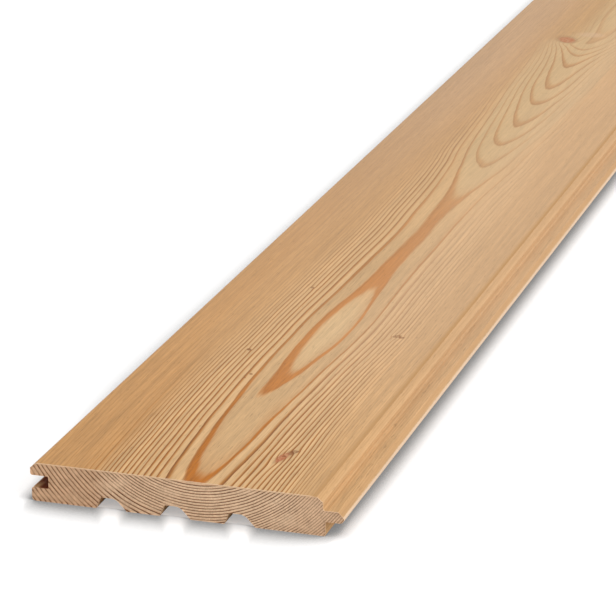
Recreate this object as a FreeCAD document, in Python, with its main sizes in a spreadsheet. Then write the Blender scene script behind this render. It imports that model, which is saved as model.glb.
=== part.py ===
import FreeCAD, Part
import os

import Sketcher
from FreeCAD import Vector

# Tongue and groove board, planed from one piece of softwood.
# The board lies on its back: +Y runs along its length, +X goes from the groove to the tongue, and
# +Z is up, out of the face. The origin is the middle of the board's box, on the floor it lies on.
# All sizes are millimetres. Places in the section are counted from the outermost point of the
# grooved edge (across) and from the back (up), as a joiner would measure them.

NODE = "board"

# Driving sizes: name, value, what it is.
SIZES = [
    ("board_length", 2000.0, "length of the piece"),
    ("board_width", 146.0, "overall width, tongue included"),
    ("board_thickness", 18.0, "face to back"),
    ("bevel_width", 2.8, "width of the bevel along both edges of the face, half of the V joint"),
    ("bevel_depth", 2.4, "depth of that bevel below the face"),
    ("upper_lip", 5.8, "wood above the groove"),
    ("groove_height", 5.8, "height of the groove"),
    ("groove_depth", 8.6, "depth of the groove, from the edge of the upper lip"),
    ("lip_setback", 0.6, "how much shorter the lower lip is than the upper one"),
    ("mouth_chamfer", 0.6, "bevel on both lips at the mouth of the groove"),
    ("tongue_play", 0.4, "room above and below the tongue in the groove"),
    ("tip_clearance", 0.3, "room between the tongue and the bottom of the groove"),
    ("face_gap", 1.3, "open line left in the face of a closed joint"),
    ("back_gap", 0.8, "open line left in the back of a closed joint"),
    ("nose_chamfer", 2.6, "bevel on the upper edge of the tongue"),
    ("nose_radius", 2.0, "rounding of the lower edge of the tongue"),
    ("root_radius", 1.0, "cove between the face shoulder and the tongue"),
    ("cutter_radius", 0.6, "rounding that the cutters leave in inner corners"),
    ("back_edge_radius", 1.8, "rounding of the lower lip towards the back"),
    ("back_easing", 0.5, "rounding of the other edges of the back"),
    ("relief_count", 3, "relief grooves in the back"),
    ("relief_start", 31.3, "from the edge of the upper lip to the first relief groove"),
    ("relief_pitch", 30.0, "from one relief groove to the next"),
    ("relief_width", 14.3, "width of a relief groove at the back"),
    ("relief_depth", 5.4, "depth of a relief groove"),
    ("relief_lean", 2.2, "how far the steep wall leans in over its height"),
    ("relief_run", 5.1, "how far the sloping wall runs out over its height"),
    ("relief_radius", 4.6, "rounding between the ceiling and the sloping wall"),
]

# Places in the section, worked out from the driving sizes. The tongue takes its height from the
# groove less the play, and its reach from the groove's depth, so that two boards fit together.
GROOVE_TOP = "(Sizes.board_thickness - Sizes.upper_lip)"
GROOVE_FLOOR = f"({GROOVE_TOP} - Sizes.groove_height)"
TONGUE_TOP = f"({GROOVE_TOP} - Sizes.tongue_play)"
TONGUE_FLOOR = f"({GROOVE_FLOOR} + Sizes.tongue_play)"
COVER_WIDTH = "(Sizes.board_width - Sizes.groove_depth + Sizes.tip_clearance)"
FACE_SHOULDER = f"({COVER_WIDTH} - Sizes.face_gap)"
BACK_SHOULDER = f"({COVER_WIDTH} + Sizes.lip_setback - Sizes.back_gap)"
BEVEL_FOOT = "(Sizes.board_thickness - Sizes.bevel_depth)"

SECTION = {
    "back_groove_edge": ("Sizes.lip_setback", "0"),
    "back_tongue_edge": (BACK_SHOULDER, "0"),
    "back_root": (BACK_SHOULDER, TONGUE_FLOOR),
    "nose_lower": ("Sizes.board_width", TONGUE_FLOOR),
    "nose_upper": ("Sizes.board_width", TONGUE_TOP),
    "face_root": (FACE_SHOULDER, TONGUE_TOP),
    "tongue_bevel_foot": (FACE_SHOULDER, BEVEL_FOOT),
    "tongue_bevel_top": (f"({FACE_SHOULDER} - Sizes.bevel_width)", "Sizes.board_thickness"),
    "groove_bevel_top": ("Sizes.bevel_width", "Sizes.board_thickness"),
    "groove_bevel_foot": ("0", BEVEL_FOOT),
    "upper_lip_mouth": ("0", GROOVE_TOP),
    "groove_upper_corner": ("Sizes.groove_depth", GROOVE_TOP),
    "groove_lower_corner": ("Sizes.groove_depth", GROOVE_FLOOR),
    "lower_lip_mouth": ("Sizes.lip_setback", GROOVE_FLOOR),
}

RELIEF_END = "(Sizes.relief_start + Sizes.relief_width)"
RELIEF = {
    "steep_foot": ("Sizes.relief_start", "0"),
    "steep_top": ("(Sizes.relief_start + Sizes.relief_lean)", "Sizes.relief_depth"),
    "slope_top": (f"({RELIEF_END} - Sizes.relief_run)", "Sizes.relief_depth"),
    "slope_foot": (RELIEF_END, "0"),
}

# How far from its worked-out place an edge may lie and still be taken for it.
EDGE_TOLERANCE = 0.001
# Share by which a removed volume may differ from the one worked out.
VOLUME_TOLERANCE = 0.001

# Sketch indices: the ends of a side, the sketch's origin and its two axes.
START_INDEX, END_INDEX = 1, 2
ORIGIN_INDEX = -1
ACROSS_INDEX, UP_INDEX = -1, -2


def make_sheet(doc):
    """Writes the driving sizes into a spreadsheet, one row each, under their own names."""
    sheet = doc.addObject("Spreadsheet::Sheet", "Sizes")
    for row, (name, value, meaning) in enumerate(SIZES, start=1):
        sheet.set(f"A{row}", name)
        sheet.set(f"B{row}", str(value))
        sheet.set(f"C{row}", meaning)
        sheet.setAlias(f"B{row}", name)
    doc.recompute()
    return sheet


def number(sheet, expression):
    """Works out an expression of the sizes as a plain number."""
    return float(sheet.evalExpression(expression.replace("Sizes.", "")))


def origin_feature(body, role):
    """Finds one of the body's own planes or axes."""
    return next(item for item in body.Origin.OriginFeatures if item.Role == role)


def draw_outline(body, sheet, name, corners):
    """Draws a closed outline across the board, each corner held at its two expressions."""
    sketch = body.newObject("Sketcher::SketchObject", name)
    sketch.AttachmentSupport = [(origin_feature(body, "XZ_Plane"), "")]
    sketch.MapMode = "FlatFace"
    sketch.setExpression("AttachmentOffset.Base.x", "-Sizes.board_width / 2")
    places = list(corners.values())
    points = [Vector(number(sheet, across), number(sheet, up), 0) for across, up in places]
    count = len(points)
    for index in range(count):
        side = Part.LineSegment(points[index], points[(index + 1) % count])
        sketch.addGeometry(side, False)
    for index in range(count):
        after = (index + 1) % count
        sketch.addConstraint(Sketcher.Constraint("Coincident", index, END_INDEX, after, START_INDEX))
    for index, (across, up) in enumerate(places):
        hold(sketch, index, "DistanceX", across, points[index].x, UP_INDEX)
        hold(sketch, index, "DistanceY", up, points[index].y, ACROSS_INDEX)
    return sketch


def hold(sketch, index, kind, expression, value, axis):
    """Holds the start of one side at a distance from the origin, or on an axis where it is zero."""
    if expression == "0":
        sketch.addConstraint(Sketcher.Constraint("PointOnObject", index, START_INDEX, axis))
        return
    ends = (ORIGIN_INDEX, START_INDEX, index, START_INDEX)
    made = sketch.addConstraint(Sketcher.Constraint(kind, *ends, value))
    sketch.setExpression(f"Constraints[{made}]", expression)


def edge_names(sheet, feature, places):
    """Names the edges that run along the board at the given places of its section."""
    half_width = number(sheet, "Sizes.board_width") / 2
    wanted = [(number(sheet, across) - half_width, number(sheet, up)) for across, up in places]
    names = []
    for across, up in wanted:
        for index, edge in enumerate(feature.Shape.Edges, start=1):
            box = edge.BoundBox
            near = abs(box.Center.x - across) < EDGE_TOLERANCE and abs(box.Center.z - up) < EDGE_TOLERANCE
            thin = box.XLength < EDGE_TOLERANCE and box.ZLength < EDGE_TOLERANCE
            if near and thin:
                names.append(f"Edge{index}")
    if len(names) != len(wanted):
        raise RuntimeError(f"{feature.Name}: {len(names)} edges found at {len(wanted)} places")
    return names


def dress(doc, body, sheet, kind, name, size, places):
    """Adds a chamfer or a fillet of one named size along the edges at the given places."""
    base = body.Tip
    feature = body.newObject(f"PartDesign::{kind}", name)
    feature.Base = (base, edge_names(sheet, base, places))
    feature.setExpression("Radius" if kind == "Fillet" else "Size", f"Sizes.{size}")
    body.Tip = feature
    doc.recompute()
    return feature


def pad_section(doc, body, sheet):
    """The stock with its tongue, shoulders and groove, still with sharp edges."""
    sketch = draw_outline(body, sheet, "section", SECTION)
    pad = body.newObject("PartDesign::Pad", "planed_stock")
    pad.Profile = sketch
    pad.SideType = "Symmetric"
    pad.setExpression("Length", "Sizes.board_length")
    body.Tip = pad
    doc.recompute()
    return pad


def relief_places(sheet, corner):
    """The place of one corner in every relief groove, from the first groove onwards."""
    across, up = RELIEF[corner]
    count = int(number(sheet, "Sizes.relief_count"))
    return [(f"({across} + {step} * Sizes.relief_pitch)", up) for step in range(count)]


def cut_relief(doc, body, sheet):
    """Mills the relief grooves into the back, over the whole length."""
    before = body.Tip.Shape.Volume
    sketch = draw_outline(body, sheet, "relief_outline", RELIEF)
    pocket = body.newObject("PartDesign::Pocket", "relief_groove")
    pocket.Profile = sketch
    pocket.SideType = "Symmetric"
    pocket.setExpression("Length", "Sizes.board_length")
    body.Tip = pocket
    doc.recompute()
    pattern = body.newObject("PartDesign::LinearPattern", "relief_grooves")
    pattern.Originals = [pocket]
    pattern.Direction = (origin_feature(body, "X_Axis"), [""])
    pattern.setExpression("Length", "Sizes.relief_pitch * (Sizes.relief_count - 1)")
    pattern.setExpression("Occurrences", "Sizes.relief_count")
    body.Tip = pattern
    doc.recompute()
    mean_width = "(Sizes.relief_width - (Sizes.relief_lean + Sizes.relief_run) / 2)"
    each = number(sheet, f"{mean_width} * Sizes.relief_depth * Sizes.board_length")
    wanted = each * number(sheet, "Sizes.relief_count")
    removed = before - pattern.Shape.Volume
    if abs(removed - wanted) > VOLUME_TOLERANCE * wanted:
        raise RuntimeError(f"the relief grooves removed {removed:.0f} mm3, not {wanted:.0f} mm3")


def ease_edges(doc, body, sheet):
    """Bevels and rounds the edges, each group by the size it has on the board."""
    groups = [
        ("Chamfer", "mouth_bevels", "mouth_chamfer", ["upper_lip_mouth", "lower_lip_mouth"]),
        ("Chamfer", "nose_bevel", "nose_chamfer", ["nose_upper"]),
        ("Fillet", "nose_rounding", "nose_radius", ["nose_lower"]),
        ("Fillet", "root_cove", "root_radius", ["face_root"]),
        ("Fillet", "lower_lip_rounding", "back_edge_radius", ["back_groove_edge"]),
        ("Fillet", "tongue_edge_easing", "back_easing", ["back_tongue_edge"]),
    ]
    for kind, name, size, corners in groups:
        dress(doc, body, sheet, kind, name, size, [SECTION[corner] for corner in corners])
    inner = ["groove_upper_corner", "groove_lower_corner", "back_root"]
    inner_places = [SECTION[corner] for corner in inner] + relief_places(sheet, "steep_top")
    dress(doc, body, sheet, "Fillet", "cutter_corners", "cutter_radius", inner_places)
    sweeps = relief_places(sheet, "slope_top")
    dress(doc, body, sheet, "Fillet", "relief_sweeps", "relief_radius", sweeps)
    feet = relief_places(sheet, "steep_foot") + relief_places(sheet, "slope_foot")
    dress(doc, body, sheet, "Fillet", "relief_easing", "back_easing", feet)


def check(doc, body):
    """Stops if anything failed to build, or if the board isn't one sound solid."""
    for item in doc.Objects:
        if "Invalid" in item.State or "Error" in item.State:
            raise RuntimeError(f"{item.Name} failed to build: {item.State}")
    shape = body.Shape
    if shape.isNull() or not shape.isValid() or len(shape.Solids) != 1:
        raise RuntimeError(f"{body.Label} isn't one valid solid")


def main():
    """Builds the board and writes its shape."""
    doc = FreeCAD.newDocument("TongueAndGrooveBoard")
    sheet = make_sheet(doc)
    body = doc.addObject("PartDesign::Body", "Board")
    body.Label = NODE
    pad_section(doc, body, sheet)
    cut_relief(doc, body, sheet)
    ease_edges(doc, body, sheet)
    doc.recompute()
    check(doc, body)
    os.makedirs("parts", exist_ok=True)
    body.Shape.exportStep(os.path.join("parts", f"{NODE}.step"))
    box = body.Shape.BoundBox
    print(f"{NODE}: {box.XLength:.2f} x {box.YLength:.2f} x {box.ZLength:.2f} mm,", end=" ")
    print(f"{body.Shape.Volume / 1000:.1f} cm3, {len(body.Shape.Faces)} faces")


main()
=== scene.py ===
"""Dresses the tongue and groove board: its milled shape, its softwood, and the studio it lies in.

The classes hold real sizes in millimetres. Places across the board are counted from its grooved
edge, places along it from its near end, and heights from its back. Meshes are made in metres in the
board's own frame, where +Y runs along the length, +X goes to the tongue and +Z comes out of the
face. The materials count from the board's middle, across and along, and from its back.
"""

from __future__ import annotations

import logging
import math
from dataclasses import dataclass, field
from enum import Enum
from typing import Sequence, Union

import bmesh
import bpy
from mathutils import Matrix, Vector, noise

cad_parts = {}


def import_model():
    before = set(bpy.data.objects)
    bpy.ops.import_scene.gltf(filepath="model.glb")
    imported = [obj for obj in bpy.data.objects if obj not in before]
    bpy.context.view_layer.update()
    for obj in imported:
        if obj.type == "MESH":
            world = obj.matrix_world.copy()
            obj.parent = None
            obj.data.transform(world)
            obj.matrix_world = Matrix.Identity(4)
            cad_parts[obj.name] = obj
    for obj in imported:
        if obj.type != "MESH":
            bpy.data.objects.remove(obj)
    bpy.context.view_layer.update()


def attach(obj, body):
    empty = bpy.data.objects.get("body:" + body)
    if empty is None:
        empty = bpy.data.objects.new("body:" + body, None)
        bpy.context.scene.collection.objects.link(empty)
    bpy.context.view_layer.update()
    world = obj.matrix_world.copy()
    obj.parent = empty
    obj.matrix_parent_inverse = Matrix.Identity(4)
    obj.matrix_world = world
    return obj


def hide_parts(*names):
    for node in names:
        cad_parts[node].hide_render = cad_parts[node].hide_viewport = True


log = logging.getLogger("board")

MM = 0.001
PER_METRE = 1000.0

Socket = bpy.types.NodeSocket
Value = Union[Socket, float, Sequence[float]]
Colour = tuple[float, float, float, float]
Points = tuple[tuple[float, float], ...]

RING_FACTS = (
    "Latewood", "Line", "Season", "Year", "Young", "Flame", "Resin", "Aside", "Heart", "Rim",
)


def paint(red: int, green: int, blue: int) -> Colour:
    """Turns a colour as a screen shows it into the linear one that a shader takes.

    Args:
        red: Red, from 0 to 255.
        green: Green, from 0 to 255.
        blue: Blue, from 0 to 255.

    Returns:
        The linear colour with full alpha.
    """
    shown = (red / 255, green / 255, blue / 255)
    linear = [c / 12.92 if c <= 0.04045 else ((c + 0.055) / 1.055) ** 2.4 for c in shown]
    return (*linear, 1.0)


def sockets(kind: str, *labels: str) -> dict[str, str]:
    """Names sockets of one kind, which is number, vector or colour."""
    return dict.fromkeys(labels, kind)


class Surface(Enum):
    """The ways in which the board's faces were worked, in the order of its material slots."""

    PLANED = 0
    MILLED = 1
    SAWN = 2


@dataclass(frozen=True)
class Corner:
    """One corner of the section, with the easing of the edge that runs along the board there.

    Attributes:
        across: Distance from the grooved edge.
        up: Height above the back.
        radius: Radius of a rounding, or nought.
        chamfer: Size of a 45 degree bevel, or nought.
    """

    across: float
    up: float
    radius: float = 0.0
    chamfer: float = 0.0

    def reach(self, before: Corner, after: Corner) -> float:
        """How far the easing runs along both sides from the corner.

        Args:
            before: The corner before this one.
            after: The corner after it.

        Returns:
            The bevel's size, or the tangent length of the rounding.
        """
        if self.chamfer:
            return self.chamfer
        here = Vector((self.across, self.up))
        turn = (here - Vector((before.across, before.up))).angle(
            Vector((after.across, after.up)) - here
        )
        return self.radius * math.tan(turn / 2)


@dataclass(frozen=True)
class MilledSection:
    """Sizes of the board's section, the same as in the part's source."""

    length: float = 2000.0
    width: float = 146.0
    thickness: float = 18.0
    bevel_width: float = 2.8
    bevel_depth: float = 2.4
    upper_lip: float = 5.8
    groove_height: float = 5.8
    groove_depth: float = 8.6
    lip_setback: float = 0.6
    mouth_chamfer: float = 0.6
    tongue_play: float = 0.4
    tip_clearance: float = 0.3
    face_gap: float = 1.3
    back_gap: float = 0.8
    nose_chamfer: float = 2.6
    nose_radius: float = 2.0
    root_radius: float = 1.0
    cutter_radius: float = 0.6
    back_edge_radius: float = 1.8
    back_easing: float = 0.5
    relief_count: int = 3
    relief_start: float = 31.3
    relief_pitch: float = 30.0
    relief_width: float = 14.3
    relief_depth: float = 5.4
    relief_lean: float = 2.2
    relief_run: float = 5.1
    relief_radius: float = 4.6

    def relief_corners(self, step: int) -> list[Corner]:
        """The corners of one relief groove in the back.

        Args:
            step: Which groove, from nought at the grooved edge.

        Returns:
            Its four corners, from the steep wall's foot to the sloping wall's foot.
        """
        start = self.relief_start + step * self.relief_pitch
        end = start + self.relief_width
        return [
            Corner(start, 0, radius=self.back_easing),
            Corner(start + self.relief_lean, self.relief_depth, radius=self.cutter_radius),
            Corner(end - self.relief_run, self.relief_depth, radius=self.relief_radius),
            Corner(end, 0, radius=self.back_easing),
        ]

    def corners(self) -> list[Corner]:
        """Lists all corners of the section.

        Returns:
            The corners, from the grooved edge's back round to the groove's mouth.
        """
        groove_top = self.thickness - self.upper_lip
        groove_floor = groove_top - self.groove_height
        tongue_top = groove_top - self.tongue_play
        tongue_floor = groove_floor + self.tongue_play
        cover = self.width - self.groove_depth + self.tip_clearance
        face_shoulder = cover - self.face_gap
        back_shoulder = cover + self.lip_setback - self.back_gap
        bevel_foot = self.thickness - self.bevel_depth
        relief = [c for step in range(self.relief_count) for c in self.relief_corners(step)]
        return [
            Corner(self.lip_setback, 0, radius=self.back_edge_radius),
            *relief,
            Corner(back_shoulder, 0, radius=self.back_easing),
            Corner(back_shoulder, tongue_floor, radius=self.cutter_radius),
            Corner(self.width, tongue_floor, radius=self.nose_radius),
            Corner(self.width, tongue_top, chamfer=self.nose_chamfer),
            Corner(face_shoulder, tongue_top, radius=self.root_radius),
            Corner(face_shoulder, bevel_foot),
            Corner(face_shoulder - self.bevel_width, self.thickness),
            Corner(self.bevel_width, self.thickness),
            Corner(0, bevel_foot),
            Corner(0, groove_top, chamfer=self.mouth_chamfer),
            Corner(self.groove_depth, groove_top, radius=self.cutter_radius),
            Corner(self.groove_depth, groove_floor, radius=self.cutter_radius),
            Corner(self.lip_setback, groove_floor, chamfer=self.mouth_chamfer),
        ]


class NodeDesk:
    """Lays out shader nodes in one node tree and hands back their output sockets."""

    def __init__(self, tree: bpy.types.NodeTree) -> None:
        """Starts on an empty or a fresh tree.

        Args:
            tree: The tree that the nodes go into.
        """
        self.tree = tree

    def add(self, kind: str, **settings: object) -> bpy.types.Node:
        """Adds one node.

        Args:
            kind: The node's type in Blender.
            **settings: Properties to set on it.

        Returns:
            The new node.
        """
        node = self.tree.nodes.new(kind)
        for name, value in settings.items():
            setattr(node, name, value)
        return node

    def feed(self, socket: Socket, value: Value) -> None:
        """Links a socket to another one, or sets its plain value.

        Args:
            socket: The socket that takes the value.
            value: Another socket or a plain value.
        """
        if isinstance(value, Socket):
            self.tree.links.new(value, socket)
        else:
            socket.default_value = value

    def fill(self, node: bpy.types.Node, **given: Value) -> bpy.types.Node:
        """Feeds inputs of a node by their names.

        Args:
            node: The node.
            **given: Its inputs by name, with underscores for spaces.

        Returns:
            The same node.
        """
        for name, value in given.items():
            self.feed(node.inputs[name.replace("_", " ")], value)
        return node

    def maths(self, operation: str, *values: Value, clamp: bool = False) -> Socket:
        """Works on one, two or three numbers.

        Args:
            operation: The Math node's operation.
            *values: Sockets or plain numbers, in the node's order.
            clamp: Whether the result is kept between nought and one.

        Returns:
            The result's socket.
        """
        node = self.add("ShaderNodeMath", operation=operation, use_clamp=clamp)
        for socket, value in zip(node.inputs, values):
            self.feed(socket, value)
        return node.outputs[0]

    def times(self, first: Value, second: Value, clamp: bool = False) -> Socket:
        """Multiplies two numbers."""
        return self.maths("MULTIPLY", first, second, clamp=clamp)

    def plus(self, first: Value, second: Value, clamp: bool = False) -> Socket:
        """Adds two numbers."""
        return self.maths("ADD", first, second, clamp=clamp)

    def minus(self, first: Value, second: Value) -> Socket:
        """Takes the second number from the first."""
        return self.maths("SUBTRACT", first, second)

    def scaled(self, value: Value, factor: Value, shift: Value) -> Socket:
        """Multiplies a number by a factor and adds a shift."""
        return self.maths("MULTIPLY_ADD", value, factor, shift)

    def larger(self, first: Value, second: Value) -> Socket:
        """The larger of two numbers."""
        return self.maths("MAXIMUM", first, second)

    def smaller(self, first: Value, second: Value) -> Socket:
        """The smaller of two numbers."""
        return self.maths("MINIMUM", first, second)

    def off(self, value: Value, middle: Value = 0.0) -> Socket:
        """How far a number lies from a middle, on either side."""
        return self.maths("ABSOLUTE", self.minus(value, middle))

    def vectors(self, operation: str, *values: Value) -> Socket:
        """Works on vectors; a length or a dot product comes out as a number.

        Args:
            operation: The Vector Math node's operation.
            *values: Sockets or plain vectors; SCALE takes its factor as the second.

        Returns:
            The result's socket.
        """
        node = self.add("ShaderNodeVectorMath", operation=operation)
        self.feed(node.inputs[0], values[0])
        if operation == "SCALE":
            self.feed(node.inputs["Scale"], values[1])
        elif len(values) > 1:
            self.feed(node.inputs[1], values[1])
        is_number = operation in {"LENGTH", "DOT_PRODUCT", "DISTANCE"}
        return node.outputs["Value" if is_number else "Vector"]

    def in_mm(self, place: Value) -> Socket:
        """Turns a place in metres into millimetres."""
        return self.vectors("SCALE", place, PER_METRE)

    def split(self, vector: Value) -> tuple[Socket, Socket, Socket]:
        """Takes a vector apart into its three numbers.

        Args:
            vector: The vector.

        Returns:
            Its numbers across, along and up.
        """
        node = self.add("ShaderNodeSeparateXYZ")
        self.feed(node.inputs[0], vector)
        return node.outputs[0], node.outputs[1], node.outputs[2]

    def join(self, x: Value, y: Value, z: Value) -> Socket:
        """Puts three numbers together as a vector.

        Args:
            x: The number across.
            y: The number along.
            z: The number up.

        Returns:
            The vector.
        """
        node = self.add("ShaderNodeCombineXYZ")
        for socket, value in zip(node.inputs, (x, y, z)):
            self.feed(socket, value)
        return node.outputs[0]

    def remap(
        self,
        value: Value,
        low: Value,
        high: Value,
        to_low: Value = 0.0,
        to_high: Value = 1.0,
        smooth: bool = True,
    ) -> Socket:
        """Moves a number from one range to another and keeps it in there.

        Args:
            value: The number.
            low: Where the first range starts.
            high: Where it ends.
            to_low: What the start becomes.
            to_high: What the end becomes.
            smooth: Whether the way between them is eased.

        Returns:
            The result's socket.
        """
        kind = "SMOOTHSTEP" if smooth else "LINEAR"
        node = self.add("ShaderNodeMapRange", interpolation_type=kind, clamp=True)
        for socket, given in zip(node.inputs, (value, low, high, to_low, to_high)):
            self.feed(socket, given)
        return node.outputs[0]

    def grain(self, place: Value, pitch: Sequence[float], detail: float = 2.0) -> Socket:
        """Soft noise with its own scale in each direction.

        Args:
            place: Where on the board, in millimetres.
            pitch: Size of a patch across, along and up, in millimetres.
            detail: How many finer layers it has.

        Returns:
            A number about nought, mostly between minus one and one.
        """
        scaled = self.vectors("MULTIPLY", place, [1 / size for size in pitch])
        node = self.add("ShaderNodeTexNoise", noise_dimensions="3D")
        self.fill(node, Vector=scaled, Scale=1.0, Detail=detail)
        return self.scaled(node.outputs[0], 4.0, -2.0)

    def follow(self, value: Value, points: Points) -> Socket:
        """Reads a number off a line with corners.

        Args:
            value: Where on the line.
            points: The line's corners.

        Returns:
            The line's height there.
        """
        height: Value = points[0][1]
        for (start, first), (end, second) in zip(points, points[1:]):
            part = self.remap(value, start, end, 0.0, second - first, smooth=False)
            height = self.plus(part, height)
        return height

    def curve(self, value: Value, points: Sequence[tuple[float, float]]) -> Socket:
        """Reads a number off a smooth curve.

        Args:
            value: Where on the curve, from nought to one.
            points: Places on the curve, both numbers from nought to one.

        Returns:
            The curve's height there.
        """
        node = self.add("ShaderNodeFloatCurve")
        line = node.mapping.curves[0].points
        line[0].location, line[-1].location = points[0], points[-1]
        for x, y in points[1:-1]:
            line.new(x, y)
        node.mapping.update()
        self.feed(node.inputs["Value"], value)
        return node.outputs[0]

    def mix(self, share: Value, first: Value, second: Value, blend: str = "MIX") -> Socket:
        """Mixes two colours.

        Args:
            share: How much of the second one.
            first: The first colour.
            second: The second colour.
            blend: How they are mixed.

        Returns:
            The mixed colour.
        """
        node = self.add("ShaderNodeMix", data_type="RGBA", blend_type=blend)
        self.feed(node.inputs[0], share)
        self.feed(node.inputs[6], first)
        self.feed(node.inputs[7], second)
        return node.outputs[2]

    def use(self, group: bpy.types.NodeTree, **given: Value) -> bpy.types.Node:
        """Places a node group.

        Args:
            group: The group.
            **given: Its inputs by name, with underscores for spaces.

        Returns:
            The group's node.
        """
        return self.fill(self.add("ShaderNodeGroup", node_tree=group), **given)


class NodeGroup(NodeDesk):
    """A shader node group with named inputs and outputs."""

    KINDS = {"number": "NodeSocketFloat", "vector": "NodeSocketVector", "colour": "NodeSocketColor"}

    def __init__(self, name: str, takes: dict[str, str], gives: dict[str, str]) -> None:
        """Makes the group with its sockets.

        Args:
            name: The group's name.
            takes: Its inputs, each a number, a vector or a colour.
            gives: Its outputs, likewise.
        """
        super().__init__(bpy.data.node_groups.new(name, "ShaderNodeTree"))
        for way, named in (("INPUT", takes), ("OUTPUT", gives)):
            for label, kind in named.items():
                kind = self.KINDS[kind]
                self.tree.interface.new_socket(name=label, in_out=way, socket_type=kind)
        self.given = self.add("NodeGroupInput").outputs
        self.wanted = self.add("NodeGroupOutput").inputs

    def give(self, **results: Value) -> bpy.types.NodeTree:
        """Feeds the group's outputs.

        Args:
            **results: Its outputs by name.

        Returns:
            The group.
        """
        for name, value in results.items():
            self.feed(self.wanted[name], value)
        return self.tree


class MaterialDesk(NodeDesk):
    """The desk of one material.

    Attributes:
        material: The material.
        place: Object coordinates in metres.
        spot: The same in millimetres.
        across: Millimetres across.
        along: Millimetres along.
        up: Millimetres up.
    """

    def __init__(self, name: str) -> None:
        """Starts a material without nodes.

        Args:
            name: The material's name.
        """
        self.material = bpy.data.materials.new(name)
        self.material.use_nodes = True
        self.material.node_tree.nodes.clear()
        super().__init__(self.material.node_tree)
        self.place = self.add("ShaderNodeTexCoord").outputs["Object"]
        self.spot = self.in_mm(self.place)
        self.across, self.along, self.up = self.split(self.spot)

    def finish(self, shader: Socket) -> bpy.types.Material:
        """Feeds the material's output.

        Args:
            shader: The shader of its surface.

        Returns:
            The material.
        """
        output = self.add("ShaderNodeOutputMaterial")
        self.feed(output.inputs["Surface"], shader)
        return self.material


@dataclass(frozen=True)
class Knot:
    """A branch that the board was sawn through.

    Attributes:
        across: Where its middle meets the face, from the grooved edge.
        along: The same from the near end.
        radius: Its radius there.
        lean: How far it runs along the board for each step away from the pith.
        spread: How strongly the rings part round it, from nought to one.
        depth: How dark it is, from nought to one.
        dead: Whether the branch had died, which leaves it brown instead of red.
    """

    across: float
    along: float
    radius: float
    lean: float = 0.5
    spread: float = 0.6
    depth: float = 0.8
    dead: bool = False


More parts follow.
